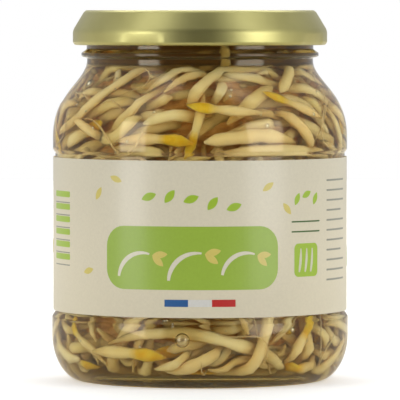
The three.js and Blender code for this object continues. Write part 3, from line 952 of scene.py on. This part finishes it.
def lidMaterial():
    material, tree, shader = startMaterial("goldLacquer")
    cloud = addNoise(tree, 60, 3.0, 0.55)
    fine = addNoise(tree, 2600, 2.0, 0.5)
    tree.links.new(
        addRamp(tree, cloud, [(0.35, lid["goldLow"]), (0.65, lid["gold"])]), shader.inputs["Base Color"]
    )
    tree.links.new(addRange(tree, fine, 0.36, 0.46), shader.inputs["Roughness"])
    setSockets(shader, {"Metallic": 1.0, "Coat Weight": 0.5, "Coat Roughness": 0.33})
    addBump(tree, fine, 0.00002, 0.35, shader)
    return material


def makeLid():
    points, faces, _ = turnRound(lidOutline(), lid["facets"])
    angle = np.degrees(np.arctan2(points[:, 1], points[:, 0]))
    radius = np.hypot(points[:, 0], points[:, 1])
    low = np.clip((lid["dentTop"] - points[:, 2]) / 1.6, 0, 1)
    low = low * low * (3 - 2 * low) * (radius > 33.2)
    pressed = np.zeros(len(points))
    for i in range(lid["lugs"]):
        away = (angle - lid["firstLug"] - i * 360 / lid["lugs"] + 180) % 360 - 180
        across = np.radians(away) * lid["radius"] / lid["dentWidth"]
        pressed = np.maximum(pressed, np.clip(1 - across**2, 0, 1) ** 0.5)
    scale = np.where(radius > 1, 1 - lid["dent"] * pressed * low / np.maximum(radius, 1), 1)
    points[:, 0] *= scale
    points[:, 1] *= scale
    allPoints, allFaces = [points], list(faces)
    for i in range(lid["lugs"]):
        start = sum(len(p) for p in allPoints)
        section = [(lid["lugOuter"], lid["lugBottom"]), (lid["lugInner"], lid["lugBottom"] + 0.15),
                   (lid["lugInner"], lid["lugTop"] - 0.15), (lid["lugOuter"], lid["lugTop"])]
        steps, rings = 8, []
        for k in range(steps + 1):
            share = 2 * k / steps - 1
            turn = math.radians(lid["firstLug"] + i * 360 / lid["lugs"] + share * lid["lugDegrees"] / 2)
            inset = 0.8 * share**4
            rings.append([((r + (inset if r < 33 else 0)) * math.cos(turn),
                           (r + (inset if r < 33 else 0)) * math.sin(turn), z) for r, z in section])
        allPoints.append(np.array(rings).reshape(-1, 3))
        for k in range(steps):
            for j in range(4):
                a, b = start + 4 * k + j, start + 4 * k + (j + 1) % 4
                allFaces.append((a, a + 4, b + 4, b))
        allFaces.append((start, start + 1, start + 2, start + 3))
        end = start + steps * 4
        allFaces.append((end + 3, end + 2, end + 1, end))
    piece = addPiece("lid", np.vstack(allPoints), allFaces, [lidMaterial()], "lid")
    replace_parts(piece, "lid")


makeLid()


def compoundMaterial():
    material, tree, shader = startMaterial("sealingCompound")
    grain = addNoise(tree, 700, 3.0)
    colours = [(0.3, (0.74, 0.71, 0.62)), (0.7, (0.83, 0.80, 0.72))]
    tree.links.new(addRamp(tree, grain, colours), shader.inputs["Base Color"])
    setSockets(shader, {"Roughness": 0.55})
    addBump(tree, grain, 0.0001, 0.4, shader)
    return material


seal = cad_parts["lid_seal"]
seal.data.materials.clear()
seal.data.materials.append(compoundMaterial())
print("lid and its seal made")


label = {
    "radius": 40.5, "thick": 0.28, "bottom": 19.4, "top": 61.5, "gapDegrees": 10, "facets": 280,
    "paper": (0.75, 0.70, 0.55),
    "softEdge": 0.06, "inkLift": 0.03, "inkStep": 1.2,
}
inks = {
    "green": (0.335, 0.50, 0.06), "leafGreen": (0.37, 0.56, 0.045), "pale": (0.68, 0.68, 0.52),
    "cream": (0.76, 0.73, 0.60), "yellow": (0.70, 0.60, 0.16), "blue": (0.02, 0.11, 0.33),
    "white": (0.72, 0.72, 0.70), "red": (0.52, 0.02, 0.02), "darkGreen": (0.06, 0.14, 0.03),
    "grey": (0.30, 0.31, 0.26),
}


def inkMaterial(name, colour):
    material, tree, shader = startMaterial(name)
    fibre = addNoise(tree, 1400, 3.0, 0.6)
    cloud = addNoise(tree, 45, 2.0)
    lower = tuple(c * 0.94 for c in colour)
    first = addRamp(tree, fibre, [(0.3, lower), (0.7, colour)])
    tree.links.new(
        mixColours(tree, addRange(tree, cloud, 0.0, 0.16), first, tuple(c * 0.88 for c in colour)),
        shader.inputs["Base Color"],
    )
    tree.links.new(addRange(tree, fibre, 0.36, 0.48), shader.inputs["Roughness"])
    setSockets(shader, {"Specular IOR Level": 0.4, "Coat Weight": 0.35, "Coat Roughness": 0.22})
    addBump(tree, fibre, 0.00003, 0.3, shader)
    return material


def makeLabel():
    outer, inner = label["radius"] - 0.05, label["radius"] - 0.05 - label["thick"]
    span = math.radians(360 - label["gapDegrees"])
    first = math.radians(90 + label["gapDegrees"] / 2)
    bottom, top, soft = label["bottom"], label["top"], label["softEdge"]
    middle = (outer, (bottom + top) / 2)
    corners = [(outer, top, soft), (inner, top, soft), (inner, bottom, soft), (outer, bottom, soft)]
    section = softOutline([middle, *corners, middle], 2)[:-1]
    count, sides = label["facets"] + 1, len(section)
    points = []
    for k in range(count):
        turn = first + span * k / (count - 1)
        points.extend((r * math.cos(turn), r * math.sin(turn), z) for r, z in section)
    faces = []
    for k in range(count - 1):
        for j in range(sides):
            a, b = k * sides + j, k * sides + (j + 1) % sides
            faces.append((a, a + sides, b + sides, b))
    faces.append(tuple(range(sides)))
    faces.append(tuple(reversed(range((count - 1) * sides, count * sides))))
    piece = addPiece("label", points, faces, [inkMaterial("labelPaper", label["paper"])], "jar")
    for polygon in piece.data.polygons[-2:]:
        polygon.use_smooth = False
    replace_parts(piece, "label")


def roundedBox(x0, z0, x1, z1, corner, steps=7):
    outline = []
    for cx, cz, start in ((x1 - corner, z1 - corner, 0), (x0 + corner, z1 - corner, 90),
                          (x0 + corner, z0 + corner, 180), (x1 - corner, z0 + corner, 270)):
        for k in range(steps + 1):
            turn = math.radians(start + 90 * k / steps)
            outline.append((cx + corner * math.cos(turn), cz + corner * math.sin(turn)))
    return outline


def almond(x, z, length, width, degrees, steps=10):
    turn = math.radians(degrees)
    outline = []
    for side in (1, -1):
        for k in range(steps):
            share = k / steps if side > 0 else 1 - k / steps
            along = (share - 0.5) * length
            across = side * width / 2 * math.sin(math.pi * share) ** 0.8
            outline.append((x + along * math.cos(turn) - across * math.sin(turn),
                            z + along * math.sin(turn) + across * math.cos(turn)))
    return outline[::-1]


# A curved stroke that tapers, for a drawn stem.
def stroke(x, z, length, width, degrees, bendDegrees, steps=14):
    left, right = [], []
    px, pz = x, z
    for k in range(steps + 1):
        share = k / steps
        turn = math.radians(degrees + bendDegrees * share)
        half = width / 2 * (0.25 + 0.75 * math.sin(math.pi * min(1, 0.15 + share * 0.8)))
        left.append((px - half * math.sin(turn), pz + half * math.cos(turn)))
        right.append((px + half * math.sin(turn), pz - half * math.cos(turn)))
        px += length / steps * math.cos(turn)
        pz += length / steps * math.sin(turn)
    return right + left[::-1], (px, pz, degrees + bendDegrees)


# Prints a flat shape on the label as a thin film of ink. x runs to the right from the front.
def printShape(made, outline, ink, layer=1):
    sheet = bmesh.new()
    sheet.faces.new([sheet.verts.new((x, z, 0)) for x, z in outline])
    bmesh.ops.triangulate(sheet, faces=sheet.faces[:])
    xs = [x for x, _ in outline]
    cut = math.ceil(min(xs) / label["inkStep"]) * label["inkStep"]
    while cut < max(xs):
        bmesh.ops.bisect_plane(
            sheet, geom=sheet.verts[:] + sheet.edges[:] + sheet.faces[:],
            plane_co=(cut, 0, 0), plane_no=(1, 0, 0), dist=1e-5,
        )
        cut += label["inkStep"]
    bmesh.ops.recalc_face_normals(sheet, faces=sheet.faces[:])
    if sum(face.normal.z for face in sheet.faces) < 0:
        bmesh.ops.reverse_faces(sheet, faces=sheet.faces[:])
    sheet.verts.index_update()
    flat = [(v.co.x, v.co.y) for v in sheet.verts]
    faces = [tuple(v.index for v in face.verts) for face in sheet.faces]
    edges = [tuple(loop.vert.index for loop in (edge.link_loops[0], edge.link_loops[0].link_loop_next))
             for edge in sheet.edges if edge.is_boundary]
    sheet.free()
    outer = label["radius"] - 0.05 + label["inkLift"] * layer
    points = []
    for radius in (outer, label["radius"] - 0.12):
        for x, z in flat:
            turn = x / label["radius"] - math.pi / 2
            points.append((radius * math.cos(turn), radius * math.sin(turn), label["bottom"] + z))
    half = len(flat)
    solid = [*faces, *(tuple(v + half for v in reversed(face)) for face in faces),
             *((b, a, a + half, b + half) for a, b in edges)]
    made.append((points, solid, list(inks).index(ink)))


def drawSprig(made, x, z, size, degrees, bend, ink, leafInk):
    outline, (tipX, tipZ, tipTurn) = stroke(x, z, size, size * 0.10, degrees, bend)
    printShape(made, outline, ink, 2)
    for side in (-1, 1):
        turn = tipTurn + side * 24
        reach = size * 0.17
        x, z = tipX + reach * math.cos(math.radians(turn)), tipZ + reach * math.sin(math.radians(turn))
        printShape(made, almond(x, z, size * 0.34, size * 0.15, turn), leafInk, 2)


def printLabel():
    made = []
    printShape(made, roundedBox(-27, 7.5, 22, 24.5, 5.5), "green")
    sprigs = ((-23, 11, 12.5, 80, -100), (-8.5, 10, 13, 84, -96), (6, 11.5, 12, 78, -100))
    for sprig in sprigs:
        drawSprig(made, *sprig, "cream", "yellow")
    for k, ink in enumerate(("blue", "white", "red")):
        x = -9.6 + 6.4 * k
        printShape(made, roundedBox(x, 3.0, x + 6.4, 4.9, 0.05, 1), ink, 2)
    for k in range(5):
        x, z = -14 + 5.8 * k, 31 + 1.6 * math.sin(1.1 + 0.75 * k)
        printShape(made, almond(x, z, 4.4, 2.1, 20 + 32 * (k % 2)), "leafGreen")
    for x, z, turn in ((-30, 33, 60), (-24, 37, -20), (19, 35, 35), (25, 29, -50), (-34, 12, 15)):
        printShape(made, almond(x, z, 4.0, 1.7, turn), "yellow")
    printShape(made, roundedBox(27.5, 10.5, 36.5, 19.5, 1.4), "leafGreen")
    for k in range(3):
        printShape(made, stroke(29.2 + 2.2 * k, 11.8, 6.4, 0.9, 78, 14)[0], "pale", 2)
    for z in (22.5, 25.2):
        printShape(made, roundedBox(26.5, z, 37.5, z + 0.4, 0.15, 1), "darkGreen")
    for k in range(3):
        x, z = 28.5 + 3.5 * k, 31.5 + 1.2 * (k % 2)
        printShape(made, almond(x, z, 3.6, 1.7, 65 - 40 * (k % 2)), "leafGreen")
    for k in range(11):
        z, right = 9 + 2.7 * k, 53 - 2.5 * (k % 4 == 3)
        printShape(made, roundedBox(41, z, right, z + 0.5, 0.15, 1), "grey")
    for x in (-54, 78):  # bars and rules, on the left and again towards the back
        for k in range(6):
            z = 14.5 + 3.4 * k
            printShape(made, roundedBox(x, z, x + 11, z + 1.6, 0.3, 2), "leafGreen")
            printShape(made, roundedBox(x, z - 1.6, x + 11, z - 1.3, 0.1, 1), "grey")
    for x in (-104, -88, -72, 62, 102):
        drawSprig(made, x, 12, 12, 82, -96, "leafGreen", "yellow")
    points, faces, pick, start = [], [], [], 0
    for own, solid, ink in made:
        points.extend(own)
        faces.extend(tuple(v + start for v in face) for face in solid)
        pick.extend([ink] * len(solid))
        start += len(own)
    materials = [inkMaterial("ink_" + name, colour) for name, colour in inks.items()]
    piece = addPiece("labelPrint", points, faces, materials, "jar", pick)
    piece.data.polygons.foreach_set("use_smooth", [False] * len(piece.data.polygons))


makeLabel()
printLabel()
print("label wrapped and printed")


# The studio. Lengths of lamps and their places are in metres, all else in millimetres.
studio = {
    "lens": 421.4, "sensor": 36, "distance": 1290, "eyeHeight": 101.7, "aimHeight": 49.4,
    "floorNear": -220, "floorFar": 1500, "floorSide": 3200,
    "floor": (0.9, 0.9, 0.89), "table": (0.72, 0.67, 0.56), "glow": 0.35, "tableGlow": 0.15,
    # softboxes: name, degrees to the viewer's right, width and power in watts
    "boxes": [("leftSoftbox", -53, 0.46, 4.0), ("rightSoftbox", 52, 0.62, 4.5)],
    "boxDistance": 1.0, "boxUp": 0.2, "boxTall": 0.60, "boxFade": 0.15, "boxAim": (0, 0, 0.05),
    # lamps that face down: name, place, what they face, width, length and power in watts
    "overhead": [
        ("topSoftbox", (0, 0.1, 1.5), (0, 0.1, 0), 1.6, 1.6, 0.9),
        ("floorLamp", (0, 0.9, 1.2), (0, 0.901, 0), 1.8, 0.6, 22),
    ],
    # how bright the tent is at the back, the side, towards the front and right in front
    "tentLow": [(0.0, 0.54), (0.5, 0.54), (0.75, 0.5), (0.88, 0.12), (1.0, 0.02)],
    "tentHigh": [(0.0, 0.5), (0.5, 0.5), (0.72, 2.3), (0.84, 1.3), (0.91, 0.2), (1.0, 0.04)],
    "bounces": {"max": 22, "transmission": 14, "transparent": 24, "diffuse": 9, "glossy": 5},
}


def aim(thing, target):
    thing.rotation_mode = "QUATERNION"
    thing.rotation_quaternion = (Vector(target) - thing.location).to_track_quat("-Z", "Y")


def addCamera():
    data = bpy.data.cameras.new("camera")
    data.lens, data.sensor_width = studio["lens"], studio["sensor"]
    data.clip_start, data.clip_end = 0.1, 20
    camera = bpy.data.objects.new("camera", data)
    scene.collection.objects.link(camera)
    camera.location = (0, -studio["distance"] * mm, studio["eyeHeight"] * mm)
    aim(camera, (0, 0, studio["aimHeight"] * mm))
    scene.camera = camera


# A soft box whose light fades towards its edges.
def addSoftbox(name, place, target, width, height, power, fade=0.3):
    data = bpy.data.lights.new(name, "AREA")
    data.shape, data.size, data.size_y, data.energy = "RECTANGLE", width, height, power
    data.use_nodes = True
    tree = data.node_tree
    split = addNode(tree, "ShaderNodeSeparateXYZ")
    tree.links.new(addNode(tree, "ShaderNodeNewGeometry").outputs["Parametric"], split.inputs["Vector"])
    faded = []
    for axis in ("X", "Y"):
        centred = addNode(tree, "ShaderNodeMath", operation="PINGPONG")
        centred.inputs[1].default_value = 0.5
        tree.links.new(split.outputs[axis], centred.inputs[0])
        edge = addNode(tree, "ShaderNodeMapRange", interpolation_type="SMOOTHSTEP")
        edge.inputs["From Max"].default_value = fade
        tree.links.new(centred.outputs["Value"], edge.inputs["Value"])
        faded.append(edge.outputs["Result"])
    both = addNode(tree, "ShaderNodeMath", operation="MULTIPLY")
    for k in (0, 1):
        tree.links.new(faded[k], both.inputs[k])
    tree.links.new(both.outputs["Value"], tree.nodes["Emission"].inputs["Strength"])
    lamp = bpy.data.objects.new(name, data)
    scene.collection.objects.link(lamp)
    lamp.location = place
    lamp.visible_camera = False
    aim(lamp, target)


def floorMaterial():
    material, tree, shader = startMaterial("paleFloor")
    cloud = addNoise(tree, 3, 2.0)
    tree.links.new(
        addRamp(tree, cloud, [(0.3, tuple(c * 0.99 for c in studio["floor"])), (0.7, studio["floor"])]),
        shader.inputs["Base Color"],
    )
    setSockets(shader, {"Roughness": 0.9, "Specular IOR Level": 0.1})
    # what the glass mirrors of it is duller than what is seen straight
    path = addNode(tree, "ShaderNodeLightPath")
    seen = path.outputs["Is Camera Ray"]
    tree.links.new(
        mixColours(tree, seen, studio["table"], shader.inputs["Base Color"].links[0].from_socket),
        shader.inputs["Base Color"],
    )
    shader.inputs["Emission Color"].default_value = (1, 1, 1, 1)
    glow = addRange(tree, seen, studio["tableGlow"], studio["glow"])
    tree.links.new(glow, shader.inputs["Emission Strength"])
    return material


def addFloor():
    near, far, side = studio["floorNear"], studio["floorFar"], studio["floorSide"]
    points = [(-side, near, 0), (side, near, 0), (side, far, 0), (-side, far, 0)]
    floor = addPiece("paleFloor", points, [(0, 1, 2, 3)], [floorMaterial()], None)


addCamera()
addFloor()


def around(degrees, distance, height):
    turn = math.radians(degrees)  # from the camera's side, positive to the viewer's right
    return (distance * math.sin(turn), -distance * math.cos(turn), height)


for name, degrees, width, power in studio["boxes"]:
    place = around(degrees, studio["boxDistance"], studio["boxUp"])
    addSoftbox(name, place, studio["boxAim"], width, studio["boxTall"], power, studio["boxFade"])
for lamp in studio["overhead"]:
    addSoftbox(*lamp)


# A pale tent all round, with a darker opening at the front where the camera stands.
def addWorld():
    world = bpy.data.worlds.new("studioWorld")
    world.use_nodes = True
    tree = world.node_tree
    place = addNode(tree, "ShaderNodeTexCoord")
    split, flat = addNode(tree, "ShaderNodeSeparateXYZ"), addNode(tree, "ShaderNodeCombineXYZ")
    tree.links.new(place.outputs["Generated"], split.inputs["Vector"])
    for axis in ("X", "Y"):
        tree.links.new(split.outputs[axis], flat.inputs[axis])
    level = addNode(tree, "ShaderNodeVectorMath", operation="NORMALIZE")
    tree.links.new(flat.outputs["Vector"], level.inputs[0])
    ahead = addNode(tree, "ShaderNodeSeparateXYZ")
    tree.links.new(level.outputs["Vector"], ahead.inputs["Vector"])

    def ranged(source, low, high, interpolation):
        node = addNode(tree, "ShaderNodeMapRange", interpolation_type=interpolation)
        node.inputs["From Min"].default_value, node.inputs["From Max"].default_value = low, high
        tree.links.new(source, node.inputs["Value"])
        return node.outputs["Result"]

    toFront = ranged(ahead.outputs["Y"], 1.0, -1.0, "LINEAR")
    upwards = ranged(split.outputs["Z"], 0.3, 0.85, "SMOOTHSTEP")
    low, high = (addRamp(tree, toFront, [(at, (level, level, level)) for at, level in studio[which]])
                 for which in ("tentLow", "tentHigh"))
    tent = mixColours(tree, upwards, low, high)
    path = addNode(tree, "ShaderNodeLightPath")
    tree.links.new(
        mixColours(tree, path.outputs["Is Camera Ray"], tent, (1.0, 1.0, 1.0)),
        tree.nodes["Background"].inputs["Color"],
    )
    scene.world = world


addWorld()
scene.view_settings.view_transform = "Standard"
bounces = studio["bounces"]
scene.cycles.max_bounces = bounces["max"]
scene.cycles.transmission_bounces = bounces["transmission"]
scene.cycles.transparent_max_bounces = bounces["transparent"]
scene.cycles.diffuse_bounces = bounces["diffuse"]
scene.cycles.glossy_bounces = bounces["glossy"]
print("studio set")
